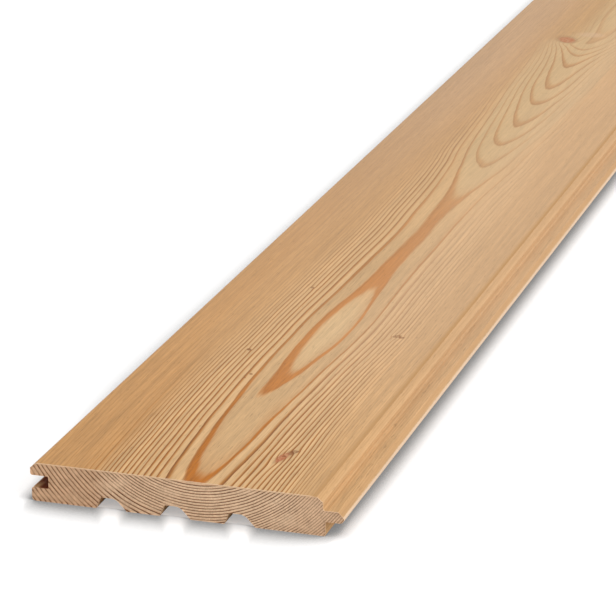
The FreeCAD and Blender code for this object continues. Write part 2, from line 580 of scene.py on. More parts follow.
@dataclass(frozen=True)
class Tree:
    """The log that the board was sawn from: where its pith ran, its yearly rings and its branches.

    Attributes:
        pith_height: Places along the board and the pith's height above its face there.
        pith_across: Places along the board and how far from its grooved edge the pith runs there.
        rings: Distances from the pith and the count of rings there.
        outer: Distance from the pith at which the outer wood starts.
        slower: How much narrower the rings of the outer wood are to the right of the pith.
        swerve: How far the innermost rings lean to the left near the eye's tip, for each step
            across.
        swerve_from: Places along the board between which that sets in.
        swerve_to: Places along the board between which it dies away.
        knots: The branches in the board.
        swirl: Middle across and along, and half sizes, of the pale swirl beyond the large knot.
    """

    pith_height: Points = (
        (0, 45.86), (20, 45.48), (50, 44.98), (75, 44.65), (109, 44.2), (125, 43.9), (150, 43.58),
        (200, 42.95), (222, 42.85), (250, 43.12), (275, 43.45), (300, 43.64), (330, 43.78),
        (360, 43.89), (380, 43.91), (400, 43.88), (418, 43.74), (435, 43.68), (455, 43.5),
        (480, 43.05), (512, 42.1), (562, 40.4), (609, 38.7), (663, 37.0), (707, 35.3),
        (765, 33.6), (797, 31.9), (816, 30.15), (838, 28.4), (876, 27.1), (945, 25.8),
        (1020, 26.4), (1150, 32.5), (1270, 35.8), (1400, 34.6), (1540, 37.3), (1700, 40.6),
        (1860, 41.0), (2000, 43.0),
    )
    pith_across: Points = (
        (0, 77.3), (20, 76.5), (50, 75.7), (100, 74.4), (150, 74.6), (205, 75.8), (330, 75.9),
        (375, 76.2), (420, 75.6), (512, 75.3), (562, 73.4), (609, 73.4), (663, 72.2), (707, 71.2),
        (768, 70.0), (815, 69.6), (860, 71.5), (1000, 71.5), (1250, 74.5), (1500, 71.5),
        (1750, 75.0), (2000, 73.0),
    )
    rings: Points = (
        (20, -14), (25.4, -11), (28.4, -10), (31.9, -8), (42.1, -2), (44.1, -1), (46.29, 0),
        (47.88, 1), (63.7, 13), (130, 49),
    )
    outer: float = 63.7
    slower: float = 0.65
    swerve: float = 0.08
    swerve_from: tuple[float, float] = (60.0, 100.0)
    swerve_to: tuple[float, float] = (105.0, 150.0)
    knots: tuple[Knot, ...] = (
        Knot(105.3, 39.4, 2.2, lean=3.4, spread=0.7, depth=0.95),
        Knot(105.6, 41.0, 0.6, lean=1.0, spread=0.1, depth=0.7, dead=True),
        Knot(107.9, 46.2, 1.3, lean=2.0, spread=0.25, depth=0.45, dead=True),
        Knot(109.7, 47.8, 0.5, lean=1.2, spread=0.2, depth=0.95, dead=True),
        Knot(45.5, 171, 0.9, lean=0.9, depth=0.9, dead=True),
        Knot(46.5, 272, 0.9, lean=0.6, depth=0.6, dead=True),
        Knot(57.6, 138, 0.7, lean=0.8, spread=0.3, depth=0.85, dead=True),
        Knot(56.5, 132, 0.4, lean=0.4, spread=0.3, depth=0.7, dead=True),
        Knot(109.6, 211.2, 1.5, lean=0.7, spread=0.9, depth=0.5, dead=True),
        Knot(112.4, 210, 0.9, lean=0.5, spread=0.3, depth=0.7, dead=True),
        Knot(53.4, 841, 6.0, lean=1.2, spread=0.85, depth=0.8),
        Knot(99.0, 1105, 1.6, lean=0.9, depth=0.8, dead=True),
        Knot(38.0, 1330, 6.0, lean=0.4, spread=0.8, depth=0.8),
        Knot(88.0, 1612, 1.2, lean=0.8, depth=0.8, dead=True),
        Knot(58.0, 1790, 2.6, lean=0.6, spread=0.7, depth=0.8),
    )
    swirl: tuple[float, float, float, float] = (66.0, 861.0, 14.0, 10.0)

    @staticmethod
    def read(points: Sequence[tuple[float, float]], along: float) -> float:
        """Reads a list of places off in straight lines.

        Args:
            points: Places along the board and what holds there.
            along: Where to read.

        Returns:
            What holds there.
        """
        for (start, first), (end, second) in zip(points, points[1:]):
            if along <= end:
                return first + (second - first) * max(along - start, 0.0) / (end - start)
        return points[-1][1]


class YearlyRings(NodeGroup):
    """The yearly rings of the whole board, with its knots.

    Latewood, Line, Young, Flame, Resin, Heart and Rim are masks, Season is the place in its ring
    from spring to autumn, Year a random number of the ring, and Aside the distance across the board
    from the pith in millimetres.

    PITH_HEIGHTS and PITH_PLACES are the least and the most that the pith's curves may show. WOBBLES
    are the depth and the pitch of the rings' unevenness. LATE_SHARES is how much of each ring is
    late wood, by the ring's count, and LATE_END the season in which that is darkest. LIVE_RIM is
    how dark the rim of a living branch is beside a dead one's.
    """

    PITH_HEIGHTS = (20.0, 50.0)
    PITH_PLACES = (60.0, 85.0)
    WOBBLES = ((0.13, (24, 150, 24)), (0.07, (6, 60, 6)), (0.035, (1.2, 16, 1.2)))
    LATE_SHARES = ((-3, 0.32), (-2, 0.40), (-1, 0.32), (0, 0.46))
    LATE_END = 0.965
    LIVE_RIM = 0.35

    def __init__(self, trunk: Tree, section: MilledSection, branch: bpy.types.NodeTree) -> None:
        """Starts the group and finds each place's way from the pith.

        Args:
            trunk: The log that the board was sawn from.
            section: The board's section, which places it in the log.
            branch: The group of one branch.
        """
        super().__init__("tree rings", {"Place": "vector"}, sockets("number", *RING_FACTS))
        self.trunk = trunk
        self.length = section.length
        self.branch = branch
        self.place = self.in_mm(self.given["Place"])
        across, along, up = self.split(self.place)
        share = self.scaled(along, 1 / section.length, 0.5)
        height = self.find_pith(share, trunk.pith_height, *self.PITH_HEIGHTS)
        pith = self.find_pith(share, trunk.pith_across, *self.PITH_PLACES)
        self.aside = self.minus(self.plus(across, section.width / 2), pith)
        self.from_end = self.plus(along, section.length / 2)
        self.below = self.minus(self.minus(up, section.thickness), height)

    def find_pith(self, share: Socket, points: Points, low: float, high: float) -> Socket:
        """Reads off where the pith runs.

        Args:
            share: Place along the board, from nought to one.
            points: The curve's points in millimetres.
            low: The least millimetres that the curve may show.
            high: The most.

        Returns:
            The pith's place in millimetres.
        """
        curve = [(along / self.length, (value - low) / (high - low)) for along, value in points]
        return self.scaled(self.curve(share, curve), high - low, low)

    def add_knots(self) -> tuple[Socket, Socket, Socket]:
        """Places all branches of the log.

        Returns:
            The knots' hearts and rims as masks, and the place with the wood moved back together.
        """
        hearts: Value = 0.0
        rims: Value = 0.0
        place = self.join(self.aside, self.from_end, self.below)
        moved = place
        for knot in self.trunk.knots:
            across = knot.across - self.trunk.read(self.trunk.pith_across, knot.along)
            height = self.trunk.read(self.trunk.pith_height, knot.along)
            heading = Vector((across, knot.lean * height, -height))
            node = self.use(
                self.branch,
                From_Pith=place,
                At_Face=(across, knot.along, -height),
                Heading=heading.normalized(),
                Radius=knot.radius,
                Reach=heading.length,
                Spread=knot.spread,
            )
            ringed = knot.depth * (1.0 if knot.dead else self.LIVE_RIM)
            rims = self.scaled(node.outputs["Rim"], ringed, rims)
            if knot.dead:
                rims = self.scaled(node.outputs["Heart"], knot.depth, rims)
            else:
                hearts = self.scaled(node.outputs["Heart"], knot.depth, hearts)
            moved = self.vectors("SUBTRACT", moved, node.outputs["Parting"])
        return hearts, rims, moved

    def find_swerve(self) -> Socket:
        """Leans the innermost rings to one side near the tip of the eye that they draw on the face.

        Returns:
            What is added to the distance from the pith.
        """
        start = self.remap(self.from_end, *self.trunk.swerve_from, 0.0, self.trunk.swerve)
        end = self.remap(self.from_end, *self.trunk.swerve_to, 1.0, 0.0)
        inside = self.remap(self.off(self.aside), 4.0, 12.0, 1.0, 0.0)
        return self.times(self.times(self.times(start, end), inside), self.aside)

    def find_distance(self, moved: Socket) -> Socket:
        """How far a place lies from the pith, with the unevenness of the rings.

        Args:
            moved: The place from the pith, with the wood moved back together round the knots.

        Returns:
            The distance in millimetres, drawn out where the outer rings are narrow.
        """
        distance = self.vectors("LENGTH", self.vectors("MULTIPLY", moved, (1.0, 0.0, 1.0)))
        for amount, pitch in self.WOBBLES:
            distance = self.scaled(self.grain(self.place, pitch, 1.0), amount, distance)
        beyond = self.larger(self.minus(distance, self.trunk.outer), 0.0)
        right = self.remap(self.aside, -10.0, 10.0, 0.0, self.trunk.slower)
        return self.plus(self.scaled(beyond, right, distance), self.find_swerve())

    def make(self) -> bpy.types.NodeTree:
        """Counts the rings and gives each its early wood, late wood and last dark line.

        Returns:
            The group.
        """
        hearts, rims, moved = self.add_knots()
        count = self.follow(self.find_distance(moved), self.trunk.rings)
        season, whole = self.maths("FRACT", count), self.maths("FLOOR", count)
        chance = self.add("ShaderNodeTexWhiteNoise", noise_dimensions="1D")
        year = self.fill(chance, W=whole).outputs["Value"]
        inner = self.remap(whole, -1.0, 0.0, 1.0, 0.0, smooth=False)
        young = self.remap(whole, -2.0, -1.0, 1.0, 0.0, smooth=False)
        flame = self.times(inner, self.remap(whole, -3.0, -2.0, smooth=False))
        thin = self.larger(
            self.remap(self.aside, -6.0, 6.0, 0.0, 0.38),
            self.remap(self.from_end, 430.0, 520.0, 0.0, 0.15),
        )
        share = self.scaled(year, 0.08, self.follow(whole, self.LATE_SHARES))
        share = self.times(share, self.minus(1.0, self.times(flame, thin)))
        aside = self.off(self.aside)
        richer = self.times(flame, self.remap(self.from_end, 395.0, 490.0, 0.7, 0.25))
        narrow = self.remap(aside, 10.5, 15.5, 1.0, 0.55)
        edge = self.remap(season, self.scaled(inner, -0.045, self.LATE_END), 1.0, 1.0, 0.0)
        edge = self.times(edge, self.scaled(self.minus(inner, flame), -0.3, 1.0))
        crisp = self.times(flame, self.remap(self.from_end, 400.0, 500.0, -0.2, 0.1))
        rise = self.plus(self.scaled(inner, -0.1, -0.35), crisp)
        full = self.scaled(share, rise, 1.0)
        dark = self.smaller(self.scaled(self.times(share, share), -1.2, 0.99), 0.94)
        return self.give(
            Latewood=self.times(self.remap(season, self.minus(1.0, share), full), edge),
            Line=self.times(self.remap(season, dark, self.LATE_END), edge),
            Season=season,
            Year=year,
            Young=young,
            Flame=self.minus(inner, young),
            Resin=self.times(self.scaled(inner, 0.3, richer), narrow),
            Aside=aside,
            Heart=self.smaller(hearts, 1.0),
            Rim=self.smaller(rims, 1.0),
        )


@dataclass(frozen=True)
class Zone:
    """Part of the face where an effect sets in, in millimetres from the board's middle.

    Attributes:
        across: Where it starts and ends across the board, and its strength at both.
        along: The same along the board.
    """

    across: tuple[float, float, float, float]
    along: tuple[float, float, float, float]


class WoodTone(NodeGroup):
    """The wood's colour from its rings, fibres and knots.

    PALE_ZONES are where the wood is paler than at its near end, and DUSKY_ZONES where it is darker.
    Both lie to the left and to the right of the pith.
    """

    PALE_ZONES = (
        Zone(across=(-10.0, 25.0, 0.2, 0.85), along=(-1000.0, -720.0, 0.0, 0.5)),
        Zone(across=(-63.0, -12.0, 1.0, 0.0), along=(-850.0, -200.0, 0.0, 0.65)),
    )
    DUSKY_ZONES = (
        Zone(across=(-25.0, 20.0, 1.0, 0.3), along=(-850.0, -400.0, 0.0, 0.085)),
        Zone(across=(38.0, 50.0, 0.0, 1.0), along=(-890.0, -790.0, 0.0, 0.035)),
        Zone(across=(-68.0, -50.0, 1.0, 0.0), along=(-550.0, -300.0, 0.0, 0.04)),
        Zone(across=(-25.0, 20.0, 1.0, 0.0), along=(-960.0, -880.0, 0.025, 0.0)),
    )
    COLOURS = ("Spring", "Autumn", "Amber", "Dark Line", "Old", "Core", "Pale", "Knot", "Bark")

    def __init__(self, trunk: Tree, section: MilledSection) -> None:
        """Starts the group.

        Args:
            trunk: The log that the board was sawn from.
            section: The board's section.
        """
        numbers = sockets("number", *RING_FACTS, "Streak", "Canal", "Smear", "Fade")
        takes = {"Place": "vector", **numbers, **sockets("colour", *self.COLOURS)}
        super().__init__("wood tone", takes, {"Colour": "colour"})
        self.trunk = trunk
        self.section = section
        self.place = self.in_mm(self.given["Place"])
        self.across, self.along, _ = self.split(self.place)
        self.outer = self.find_calm()

    def find_calm(self) -> Socket:
        """Finds the outer wood, where the rings run too close to tell apart.

        Returns:
            A mask, from nought near the pith to one in the outer wood.
        """
        inner = self.remap(self.along, -1000.0, -400.0, 38.0, 20.0, smooth=False)
        inner = self.minus(inner, self.remap(self.along, -170.0, -130.0, 0.0, 15.0))
        inner = self.plus(inner, self.remap(self.along, 20.0, 220.0, 0.0, 13.0))
        return self.remap(self.given["Aside"], inner, self.plus(inner, 17.0))

    def find_strength(self) -> Socket:
        """How plainly the late wood shows, as a factor about one.

        Returns:
            The factor: less in the outer wood, to the right, beside the neck and beyond the knot.
        """
        given = self.given
        calm = self.minus(1.0, self.times(self.outer, given["Fade"]))
        strength = self.times(calm, self.scaled(given["Year"], 0.3, 0.8))
        right = self.remap(self.across, 8.0, 20.0, 0.0, given["Fade"])
        right = self.times(right, self.minus(1.0, given["Resin"]))
        right = self.times(right, self.scaled(given["Flame"], -0.8, 1.0))
        right = self.times(right, self.remap(self.along, -960.0, -500.0, 0.0, 0.8))
        beside = self.remap(given["Aside"], 20.0, 36.0, 0.25, 0.0)
        beside = self.times(beside, self.remap(self.along, -720.0, -580.0))
        bold = self.remap(self.along, -1000.0, -740.0, 1.15, 0.9)
        bold = self.times(bold, self.remap(self.along, -185.0, -160.0, 1.0, 0.55))
        for weaker in (right, beside, given["Smear"]):
            bold = self.times(bold, self.minus(1.0, weaker))
        return self.times(strength, bold)

    def find_age(self) -> Socket:
        """Finds how far the wood has gone to its older, browner colour.

        Returns:
            A mask.
        """
        left = self.remap(self.across, -60.0, 45.0, 1.0, 0.0, smooth=False)
        edge = self.remap(self.across, -66.0, -50.0, 0.3, 0.0)
        aged = self.times(self.outer, self.scaled(left, 0.3, 0.45))
        near = self.remap(self.along, -1000.0, -800.0, 0.95, 0.1)
        band = self.remap(self.across, -48.0, -34.0, 1.0, 0.35)
        near = self.times(near, self.times(left, band))
        return self.plus(self.plus(near, edge), aged, clamp=True)

    def add_zones(self, zones: Sequence[Zone]) -> Socket:
        """Adds up the strengths of some zones.

        Args:
            zones: The zones.

        Returns:
            Their strength together.
        """
        total: Value = 0.0
        for zone in zones:
            across = self.remap(self.across, *zone.across)
            total = self.plus(self.times(across, self.remap(self.along, *zone.along)), total)
        return total

    def find_swirl(self) -> Socket:
        """Finds the pale swirl beyond the large knot.

        Returns:
            A mask.
        """
        middle, distance, wide, high = self.trunk.swirl
        x = self.scaled(self.across, 1 / wide, (self.section.width / 2 - middle) / wide)
        y = self.scaled(self.along, 1 / high, (self.section.length / 2 - distance) / high)
        return self.remap(self.vectors("LENGTH", self.join(x, y, 0.0)), 0.3, 1.1, 0.6, 0.0)

    def find_light(self, swirl: Socket) -> Socket:
        """How light the wood is: streaks, canals, clouds, dusky zones and the flame's own shade.

        Args:
            swirl: The mask of the pale swirl.

        Returns:
            A factor about one.
        """
        given = self.given
        light = self.scaled(self.grain(self.place, (28.0, 220.0, 28.0)), 0.03, 1.0)
        depth = self.remap(self.along, -1000.0, -500.0, 0.22, 0.12)
        light = self.scaled(given["Streak"], depth, light)
        light = self.minus(light, self.times(given["Canal"], depth))
        light = self.minus(light, self.add_zones(self.DUSKY_ZONES))
        light = self.scaled(swirl, 0.07, light)
        flame = self.remap(self.along, -700.0, -520.0, -0.12, 0.0)
        return self.plus(light, self.times(given["Flame"], flame))

    def make(self) -> bpy.types.NodeTree:
        """Mixes the colour: late wood into early wood, then paleness, light and knots over both.

        Returns:
            The group, whose Colour feeds a shader.
        """
        given = self.given
        strength = self.find_strength()
        swirl = self.find_swirl()
        spring = self.mix(self.times(given["Young"], 0.8), given["Spring"], given["Core"])
        spring = self.mix(self.find_age(), spring, given["Old"])
        autumn = self.mix(given["Resin"], given["Autumn"], given["Amber"])
        warm = self.times(self.remap(given["Season"], 0.4, 0.95, 0.0, 0.3), given["Resin"])
        spring = self.mix(warm, spring, autumn)
        deep = self.times(given["Latewood"], strength, clamp=True)
        colour = self.mix(deep, spring, autumn)
        line = self.times(given["Line"], strength, clamp=True)
        line = self.times(line, self.scaled(given["Resin"], -0.6, 1.0))
        colour = self.mix(line, colour, given["Dark Line"])
        kept = self.scaled(self.times(deep, given["Resin"]), -0.7, 1.0)
        paling = self.larger(self.times(self.add_zones(self.PALE_ZONES), kept), swirl)
        colour = self.mix(paling, colour, given["Pale"])
        light = self.find_light(swirl)
        colour = self.mix(1.0, colour, self.join(light, light, light), "MULTIPLY")
        patches = self.remap(self.grain(self.place, (1.3, 5.0, 1.3), 1.0), -0.5, 0.6, 0.65, 1.0)
        colour = self.mix(self.times(given["Heart"], patches), colour, given["Knot"])
        colour = self.mix(self.times(given["Rim"], 0.8), colour, given["Bark"])
        return self.give(Colour=colour)


class Timber:
    """The node groups that make softwood: rings, branches, fibres, tool marks, and the pale line of
    broken fibres along the ends' arrises, which on the tongue's nose is a painted highlight.
    """

    FIBRES = ((0.45, (1.1, 38.0, 1.1)), (0.45, (0.4, 12.0, 0.4)), (0.35, (3.6, 150.0, 3.6)))

    def __init__(self, trunk: Tree, section: MilledSection) -> None:
        """Builds all groups once.

        Args:
            trunk: The log.
            section: The board's section, which places it in the log.
        """
        self.section = section
        self.rings = YearlyRings(trunk, section, self.make_branch()).make()
        self.fibres = self.make_fibres()
        self.cutter = self.make_cutter()
        self.saw = self.make_saw()
        self.wear_and_highlight_band = self.make_wear_and_highlight()
        self.tone = WoodTone(trunk, section).make()

    def make_branch(self) -> bpy.types.NodeTree:
        """One branch, a cone from the pith outwards, and how the rings part round it.

        Returns:
            The group. Heart and Rim are masks, and Parting is how far the wood has moved aside.
        """
        takes = {
            **sockets("vector", "From Pith", "At Face", "Heading"),
            **sockets("number", "Radius", "Reach", "Spread"),
        }
        gives = {**sockets("number", "Heart", "Rim"), "Parting": "vector"}
        group = NodeGroup("branch", takes, gives)
        given = group.given
        from_branch = group.vectors("SUBTRACT", given["From Pith"], given["At Face"])
        onto = group.vectors("PROJECT", from_branch, given["Heading"])
        aside = group.vectors("SUBTRACT", from_branch, onto)
        out = group.vectors("DOT_PRODUCT", from_branch, given["Heading"])
        growth = group.plus(group.maths("DIVIDE", out, given["Reach"]), 1.0)
        radius = group.times(given["Radius"], group.larger(growth, 0.2))
        ratio = group.maths("DIVIDE", group.vectors("LENGTH", aside), radius)
        ragged = group.scaled(group.grain(given["From Pith"], (1.1, 1.6, 1.1), 1.0), 0.10, ratio)
        heart = group.remap(ragged, 0.72, 1.0, 1.0, 0.0)
        rim = group.times(group.remap(ragged, 0.6, 0.95), group.remap(ragged, 1.0, 1.45, 1.0, 0.0))
        stretched = group.vectors("MULTIPLY", aside, (0.62, 0.26, 0.62))
        far = group.maths("DIVIDE", group.vectors("LENGTH", stretched), radius)
        fade = group.maths("DIVIDE", 1.0, group.scaled(far, far, 1.0))
        strength = group.times(group.times(fade, fade), given["Spread"])
        return group.give(Heart=heart, Rim=rim, Parting=group.vectors("SCALE", aside, strength))

    def make_fibres(self) -> bpy.types.NodeTree:
        """Fibres and resin canals, long along the board and fine across it.

        Returns:
            The group. Streak is about nought, and Canal is a mask.
        """
        group = NodeGroup("wood fibres", {"Place": "vector"}, sockets("number", "Streak", "Canal"))
        place = group.in_mm(group.given["Place"])
        streak: Value = 0.0
        for share, pitch in self.FIBRES:
            streak = group.scaled(group.grain(place, pitch, 1.0), share, streak)
        canal = group.remap(group.grain(place, (0.5, 7.0, 0.5), 0.0), 0.8, 1.2)
        return group.give(Streak=streak, Canal=canal)

    def make_cutter(self) -> bpy.types.NodeTree:
        """The faint cross ripple that a planer or a moulder leaves.

        Returns:
            The group, whose Height is in shares of the ripple's depth.
        """
        takes = {"Place": "vector", "Pitch": "number"}
        group = NodeGroup("cutter marks", takes, {"Height": "number"})
        place = group.in_mm(group.given["Place"])
        _, along, _ = group.split(place)
        drift = group.grain(place, (60.0, 90.0, 60.0), 1.0)
        phase = group.maths("DIVIDE", along, group.given["Pitch"])
        turn = group.times(group.scaled(drift, 0.3, phase), math.tau)
        return group.give(Height=group.maths("SINE", turn))

    def make_saw(self) -> bpy.types.NodeTree:
        """Fine slanting scratches of a saw across the ends.

        Returns:
            The group, whose Scratch is about nought.
        """
        group = NodeGroup("saw marks", {"Place": "vector"}, {"Scratch": "number"})
        turned = group.add("ShaderNodeVectorRotate", rotation_type="Y_AXIS")
        group.feed(turned.inputs["Vector"], group.in_mm(group.given["Place"]))
        group.feed(turned.inputs["Angle"], math.radians(14.0))
        return group.give(Scratch=group.grain(turned.outputs[0], (0.32, 40.0, 22.0)))

    def make_wear_and_highlight(self) -> bpy.types.NodeTree:
        """Pale, broken fibres in a narrow line along the sawn arrises; along the tongue's nose the
        same line is a painted highlight.

        Returns:
            The group, whose Wear is a mask. Depth is how far a place lies from the arris.
        """
        takes = {"Place": "vector", **sockets("number", "Depth", "Reach")}
        group = NodeGroup("arris wear", takes, {"Wear": "number"})
        given = group.given
        broken = group.grain(group.in_mm(given["Place"]), (1.4, 1.4, 1.4))
        reach = group.scaled(broken, group.times(given["Reach"], 0.35), given["Reach"])
        return group.give(Wear=group.remap(given["Depth"], 0.0, reach, 1.0, 0.0))


class WoodDesk(MaterialDesk):
    """The desk of one of the board's materials.

    Attributes:
        timber: The shared node groups.
        section: The section's sizes.
        rings: Outputs of the rings.
        fibres: Outputs of the fibres.
        from_end: Millimetres from the nearer end.
        from_tongue: Millimetres from the tongue's side.
    """

    def __init__(self, name: str, timber: Timber) -> None:
        """Starts the material.

        Args:
            name: The material's name.
            timber: The shared node groups.
        """
        super().__init__(name)
        self.timber = timber
        self.section = timber.section
        self.rings = self.use(timber.rings, Place=self.place).outputs
        self.fibres = self.use(timber.fibres, Place=self.place).outputs
        self.from_end = self.minus(self.section.length / 2, self.off(self.along))
        self.from_tongue = self.minus(self.section.width / 2, self.across)


@dataclass(frozen=True)
class WoodFinish:
    """The look of one kind of worked surface.

    Attributes:
        name: The material's name.
        surface: How the surface was worked.
        spring: Colour of the early wood.
        autumn: Colour of the late wood.
        amber: Colour of the late wood near the pith, which is full of resin.
        line: Colour of the late wood's last, darkest line.
        old: Colour that the outer rings go to.
        core: Colour of the early wood nearest the pith.
        pale: Colour that the wood goes to away from its near end.
        knot: Colour of a knot's heart.
        bark: Colour of a knot's rim.
        wear_and_highlight: Colour of broken fibres at the arrises, and of the painted highlight
            along the tongue's nose.
        groove_shade_colour: Colour of the painted shade deep in the groove.
        bevel_line_colour: Colour of the darker line on the face beside the bevel.
        wall_highlight_colour: Colour of the painted highlight on the wall at the tongue's root.
        smear: How much of the late wood the tool smeared over, in patches.
        dull: Roughness of the early wood.
        sleek: Roughness of the late wood.
        fade: How much fainter the outer rings are.
        ripple: Depth of the cutter's ripple in millimetres.
        pitch: Its pitch in millimetres.
        relief: How far the late wood stands out, in millimetres.
        scratch: Depth of the saw's scratches in millimetres.
        wear_and_highlight_band: How far the broken fibres reach from the arris, and the painted
            highlight from the tongue's nose, in millimetres.
    """

    REFRACTION = 1.5
    GLEAM = 0.05
    WEAR_AND_HIGHLIGHT_SHARE = 0.75

    name: str
    surface: Surface
    spring: Colour = paint(211, 173, 127)
    autumn: Colour = paint(176, 117, 55)
    amber: Colour = paint(184, 110, 33)
    line: Colour = paint(136, 84, 38)
    old: Colour = paint(191, 145, 95)
    core: Colour = paint(206, 175, 132)
    pale: Colour = paint(203, 169, 136)
    knot: Colour = paint(174, 104, 72)
    bark: Colour = paint(122, 76, 44)
    wear_and_highlight: Colour = paint(230, 203, 176)
    groove_shade_colour: Colour = paint(114, 50, 14)
    bevel_line_colour: Colour = paint(184, 141, 93)
    wall_highlight_colour: Colour = paint(234, 192, 144)
    smear: float = 0.0
    dull: float = 0.60
    sleek: float = 0.46
    fade: float = 0.8
    ripple: float = 0.0012
    pitch: float = 1.9
    relief: float = 0.012
    scratch: float = 0.035
    wear_and_highlight_band: float = 0.8

    def make(self, timber: Timber) -> bpy.types.Material:
        """Builds the material.

        Args:
            timber: The shared node groups.

        Returns:
            The material.
        """
        desk = WoodDesk(self.name, timber)
        colour = desk.use(
            timber.tone,
            Place=desk.place,
            Streak=desk.fibres["Streak"],
            Canal=desk.fibres["Canal"],
            Smear=self.add_smear(desk),
            Fade=self.fade,
            Spring=self.spring,
            Autumn=self.autumn,
            Amber=self.amber,
            Dark_Line=self.line,
            Old=self.old,
            Core=self.core,
            Pale=self.pale,
            Knot=self.knot,
            Bark=self.bark,
            **{fact: desk.rings[fact] for fact in RING_FACTS},
        ).outputs["Colour"]
        # Broken fibres at the ends, and a painted highlight along the tongue's nose.
        wear_and_highlight = desk.times(self.add_wear_and_nose_highlight(desk), self.WEAR_AND_HIGHLIGHT_SHARE)
        colour = desk.mix(wear_and_highlight, colour, self.wear_and_highlight)
        if self.surface is Surface.PLANED:
            colour = desk.mix(self.add_line_beside_bevel(desk), colour, self.bevel_line_colour)
        elif self.surface is Surface.MILLED:
            # Painted shade deep in the groove.
            colour = desk.mix(self.add_groove_shade(desk), colour, self.groove_shade_colour)
            # Darker chamfer and upper faces, then a painted highlight on the wall at the tongue's
            # root.
            darkened, wall_highlight = self.add_darkening_and_wall_highlight(desk)
            colour = desk.mix(darkened, colour, self.old)
            colour = desk.mix(wall_highlight, colour, self.wall_highlight_colour)
        gloss = desk.remap(desk.rings["Latewood"], 0.0, 1.0, self.dull, self.sleek, smooth=False)
        bump = desk.add("ShaderNodeBump")
        desk.fill(bump, Strength=1.0, Distance=MM, Height=self.add_height(desk))
        shader = desk.add("ShaderNodeBsdfPrincipled")
        desk.fill(
            shader,
            Base_Color=colour,
            Roughness=desk.scaled(desk.fibres["Streak"], 0.04, gloss),
            Normal=bump.outputs["Normal"],
            IOR=self.REFRACTION,
            Specular_IOR_Level=self.GLEAM,
        )
        return desk.finish(shader.outputs["BSDF"])

    def add_wear_and_nose_highlight(self, desk: WoodDesk) -> Socket:
        """Adds the broken fibres along the arrises of the ends, and on milled faces a painted
        highlight along the tongue's nose.

        Args:
            desk: The material's nodes.

        Returns:
            The mask of broken fibres and of the painted highlight.
        """
        depth = desk.from_end
        if self.surface is Surface.SAWN:
            depth = desk.minus(desk.section.thickness, desk.up)
        elif self.surface is Surface.MILLED:
            # Painted highlight: a pale line along the tongue's nose.
            depth = desk.smaller(depth, desk.from_tongue)
        wear_and_highlight_band = desk.use(desk.timber.wear_and_highlight_band, Place=desk.place, Depth=depth, Reach=self.wear_and_highlight_band)
        return wear_and_highlight_band.outputs["Wear"]

    def add_smear(self, desk: WoodDesk) -> Value:
        """Adds the patches where the tool smeared the late wood over.

        Args:
            desk: The material's nodes.

        Returns:
            The mask of these patches, or nought.
        """
        if not self.smear:
            return 0.0
        patch = desk.remap(desk.grain(desk.spot, (13.0, 13.0, 7.0), 1.0), -0.1, 0.7)
        corner = desk.remap(desk.across, 46.0, 60.0, 0.0, 0.6)
        return desk.times(desk.larger(patch, corner), self.smear)

    def add_darkening_and_wall_highlight(self, desk: WoodDesk) -> tuple[Socket, Socket]:
        """Adds darker colour on the tongue's chamfer and faintly on the upper milled faces beyond
        the wall, and a painted highlight on the wall at the tongue's root.

        Args:
            desk: The material's nodes.

        Returns:
            The masks of the darker faces and of the painted highlight on the wall.
        """
        section, inside = desk.section, desk.from_tongue
        upper = desk.maths("GREATER_THAN", desk.up, section.thickness - 10.0)
        nose = section.nose_chamfer
        chamfer = desk.times(
            desk.remap(inside, 0.5, 1.1), desk.remap(inside, nose - 0.4, nose + 0.2, 0.6, 0.0)
        )
        wall = section.groove_depth - section.tip_clearance + section.face_gap
        # Painted highlight on the wall at the tongue's root.
        wall_highlight = desk.remap(desk.off(inside, wall), 0.1, 1.4, 0.2, 0.0)
        bevel = desk.maths("GREATER_THAN", inside, wall + 0.1)
        darkened = desk.larger(chamfer, desk.times(bevel, 0.3))
        return desk.times(darkened, upper), desk.times(wall_highlight, upper)

    def add_line_beside_bevel(self, desk: WoodDesk) -> Socket:
        """Adds a darker line on the face beside the bevel over the tongue.

        Args:
            desk: The material's nodes.

        Returns:
            The mask of the darker line.
        """
        section = desk.section
        edge = section.groove_depth - section.tip_clearance + section.face_gap
        inside = desk.minus(desk.from_tongue, edge + section.bevel_width)
        return desk.remap(inside, 0.4, 3.6, 0.95, 0.0)

    def add_groove_shade(self, desk: WoodDesk) -> Socket:
        """Adds painted shade deep in the groove, which also darkens the groove's shallow part from
        a few millimetres inside each end.

        Args:
            desk: The material's nodes.

        Returns:
            The mask of the painted shade.
        """
        section = desk.section
        into = desk.plus(desk.across, section.width / 2)
        farther = desk.times(desk.remap(desk.from_end, 2.0, 9.0), desk.remap(into, 0.6, 2.4))
        deep = desk.larger(desk.remap(into, 2.6, 5.2), farther)
        before = desk.maths("LESS_THAN", into, section.groove_depth + 0.1)
        middle = section.thickness - section.upper_lip - section.groove_height / 2
        off = desk.off(desk.up, middle)
        within = desk.maths("LESS_THAN", off, section.groove_height / 2 + 0.1)
        return desk.times(deep, desk.times(before, within))

    def add_height(self, desk: WoodDesk) -> Socket:
        """Adds the fine relief of the surface.

        Args:
            desk: The material's nodes.

        Returns:
            The height in millimetres.
        """
        height = desk.times(desk.rings["Latewood"], self.relief)
        height = desk.scaled(desk.fibres["Streak"], self.relief * 0.6, height)
        height = desk.scaled(desk.fibres["Canal"], -self.relief, height)
        height = desk.scaled(desk.rings["Heart"], self.relief * 1.5, height)
        if self.surface is Surface.SAWN:
            scratch = desk.use(desk.timber.saw, Place=desk.place).outputs["Scratch"]
            return desk.scaled(scratch, self.scratch, height)
        ripple = desk.use(desk.timber.cutter, Place=desk.place, Pitch=self.pitch)
        return desk.scaled(ripple.outputs["Height"], self.ripple, height)


